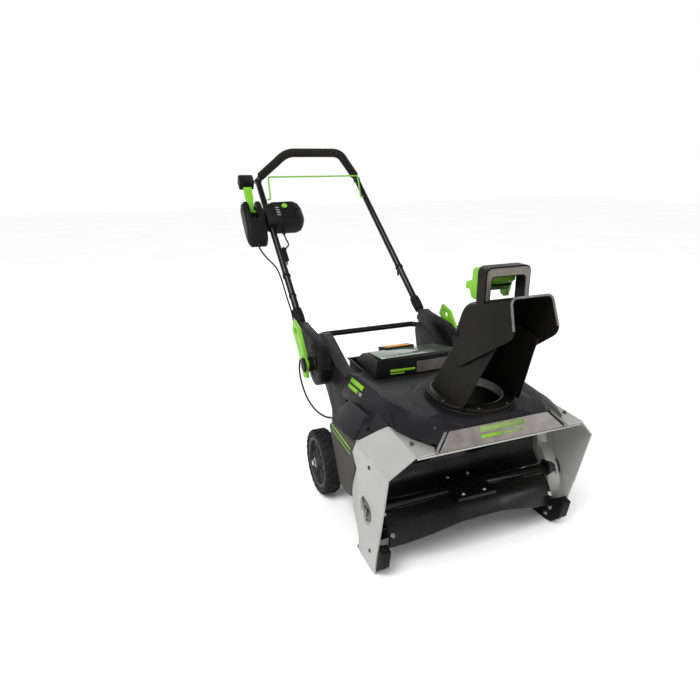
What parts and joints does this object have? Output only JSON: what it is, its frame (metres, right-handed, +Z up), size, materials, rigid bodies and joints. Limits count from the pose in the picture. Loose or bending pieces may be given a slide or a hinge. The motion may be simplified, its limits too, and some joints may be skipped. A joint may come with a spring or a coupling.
{
  "type": "cordless snow thrower",
  "caption": "Battery snow thrower with a paddle auger between silver side plates, a turning chute with a tilting deflector, a battery bay, two wheels and a folding loop handle.",
  "frame": {"origin": "middle of the footprint, at floor level", "axes": "+Y from the auger to the handle, +Z up, +X across the machine"},
  "size_m": [0.6524, 1.5634, 1.0632],
  "materials": {
    "silver_plate": "satin light grey powder coat",
    "black_steel": "semi-gloss black powder coat",
    "skid_plastic": "black moulded",
    "auger_steel": "black paint with wear",
    "paddle_rubber": "fabric-reinforced rubber",
    "bright_steel": "zinc plated",
    "pulley_alloy": "cast",
    "belt_rubber": "ribbed belt",
    "motor_can": "dark grey",
    "black_plastic": "fine-grained black moulded",
    "panel_grey": "warm grey moulded",
    "shroud_grey": "dark grey moulded",
    "trim_grey": "metallic warm grey",
    "lid_glass": "tinted window",
    "tyre_rubber": "treaded",
    "hub_plastic": "black moulded",
    "foam_black": "foam",
    "lime_plastic": "lime green moulded",
    "lime_wire": "lime green coated wire",
    "cable_black": "sheath"
  },
  "bodies": {
    "chassis": {"side_plate_left": "silver_plate", "side_plate_right": "silver_plate", "auger_housing": "black_steel", "scraper_bar": "skid_plastic", "skid_left": "skid_plastic", "skid_right": "skid_plastic", "auger_bearing_left": "bright_steel", "auger_bearing_right": "bright_steel", "drive_belt": "belt_rubber", "motor_case": "motor_can", "belt_cover": "black_plastic", "side_cover_left": "panel_grey", "shoulder_cap_left": "shroud_grey", "side_cover_right": "panel_grey", "shoulder_cap_right": "shroud_grey", "top_shroud": "shroud_grey", "front_trim": "trim_grey", "battery_bay": "black_plastic", "battery_pack": "shroud_grey", "side_frame_left": "black_plastic", "side_frame_right": "black_plastic", "floor_pan": "black_plastic", "control_board": "panel_grey", "axle": "bright_steel", "crossbar": "black_steel", "pivot_bolt_left": "bright_steel", "pivot_bolt_right": "bright_steel", "cable_loop": "cable_black", "chute_ring": "black_plastic", "outlet_collar": "silver_plate"},
    "auger": {"auger_shaft": "auger_steel", "auger_paddle_1": "paddle_rubber", "auger_paddle_2": "paddle_rubber", "auger_pulley": "pulley_alloy"},
    "motor": {"motor_rotor": "bright_steel"},
    "wheel_left": {"tyre_left": "tyre_rubber", "wheel_hub_left": "hub_plastic"},
    "wheel_right": {"tyre_right": "tyre_rubber", "wheel_hub_right": "hub_plastic"},
    "battery_lid": {"lid": "black_plastic", "lid_window": "lid_glass"},
    "latch": {"lid_latch": "black_plastic"},
    "handle": {"handle_tube": "black_steel", "foam_grip": "foam_black", "handle_fitting_left": "black_plastic", "handle_fitting_right": "black_plastic", "switch_box": "black_plastic", "joystick_box": "black_plastic", "cable_controls": "cable_black", "cable_switch": "cable_black"},
    "cam_left": {"cam_lever_left": "lime_plastic"},
    "cam_right": {"cam_lever_right": "lime_plastic"},
    "bail_wire": {"bail": "lime_wire"},
    "button": {"safety_button": "lime_plastic"},
    "joystick": {"joystick_lever": "lime_plastic", "joystick_knob": "black_plastic"},
    "chute_turret": {"chute": "black_plastic"},
    "deflector_head": {"deflector": "black_plastic", "chute_handle": "black_plastic"},
    "trigger": {"deflector_trigger": "lime_plastic"}
  },
  "joints": [
    {"name": "auger_spin", "type": "hinge", "parent": "chassis", "child": "auger", "pos_m": [0.00915, -0.56173, 0.157], "axis": [1, 0, 0], "continuous": true},
    {"name": "motor_spin", "type": "hinge", "parent": "chassis", "child": "motor", "pos_m": [0.31215, -0.36873, 0.262], "axis": [1, 0, 0], "continuous": true},
    {"name": "wheel_left_spin", "type": "hinge", "parent": "chassis", "child": "wheel_left", "pos_m": [-0.27385, -0.19273, 0.103], "axis": [1, 0, 0], "continuous": true},
    {"name": "wheel_right_spin", "type": "hinge", "parent": "chassis", "child": "wheel_right", "pos_m": [0.29215, -0.19273, 0.103], "axis": [1, 0, 0], "continuous": true},
    {"name": "lid_hinge", "type": "hinge", "parent": "chassis", "child": "battery_lid", "pos_m": [0.00915, -0.30873, 0.402], "axis": [1, 0, 0], "range_deg": [0, 65]},
    {"name": "latch_flip", "type": "hinge", "parent": "chassis", "child": "latch", "pos_m": [0.00915, -0.09473, 0.398], "axis": [1, 0, 0], "range_deg": [-30, 0], "stiffness_Nm_per_rad": 0.3, "springref_deg": 11.46},
    {"name": "handle_fold", "type": "hinge", "parent": "chassis", "child": "handle", "pos_m": [0.00915, -0.04673, 0.378], "axis": [1, 0, 0], "range_deg": [0, 135]},
    {"name": "cam_left_turn", "type": "hinge", "parent": "handle", "child": "cam_left", "pos_m": [-0.25985, -0.04673, 0.378], "axis": [1, 0, 0], "range_deg": [0, 70]},
    {"name": "cam_right_turn", "type": "hinge", "parent": "handle", "child": "cam_right", "pos_m": [0.27815, -0.04673, 0.378], "axis": [1, 0, 0], "range_deg": [0, 70]},
    {"name": "bail_squeeze", "type": "hinge", "parent": "handle", "child": "bail_wire", "pos_m": [0.00915, 0.65826, 0.862], "axis": [1, 0, 0], "range_deg": [-35, 0], "stiffness_Nm_per_rad": 0.6, "springref_deg": 17.19},
    {"name": "button_press", "type": "slide", "parent": "handle", "child": "button", "axis": [0, 0.6112, -0.7914], "range_m": [0, 0.005], "stiffness_N_per_m": 300, "springref_m": -0.002},
    {"name": "joystick_tilt", "type": "hinge", "parent": "handle", "child": "joystick", "pos_m": [-0.22215, 0.60725, 0.8186], "axis": [1, 0, 0], "range_deg": [-20, 20]},
    {"name": "chute_rotate", "type": "hinge", "parent": "chassis", "child": "chute_turret", "pos_m": [0.00915, -0.55273, 0.435], "axis": [0, -0.0799, 0.9968], "range_deg": [-90, 90]},
    {"name": "deflector_tilt", "type": "hinge", "parent": "chute_turret", "child": "deflector_head", "pos_m": [0.00915, -0.58674, 0.606], "axis": [1, 0, 0], "range_deg": [0, 15]},
    {"name": "trigger_squeeze", "type": "hinge", "parent": "deflector_head", "child": "trigger", "pos_m": [0.00915, -0.61374, 0.718], "axis": [1, 0, 0], "range_deg": [-10, 0], "stiffness_Nm_per_rad": 0.8, "springref_deg": 8.59}
  ],
  "couplings": [
    {"joint": "motor_spin", "follows": "auger_spin", "ratio": 2.9},
    {"joint": "joystick_tilt", "follows": "chute_rotate", "ratio": 0.2222}
  ]
}
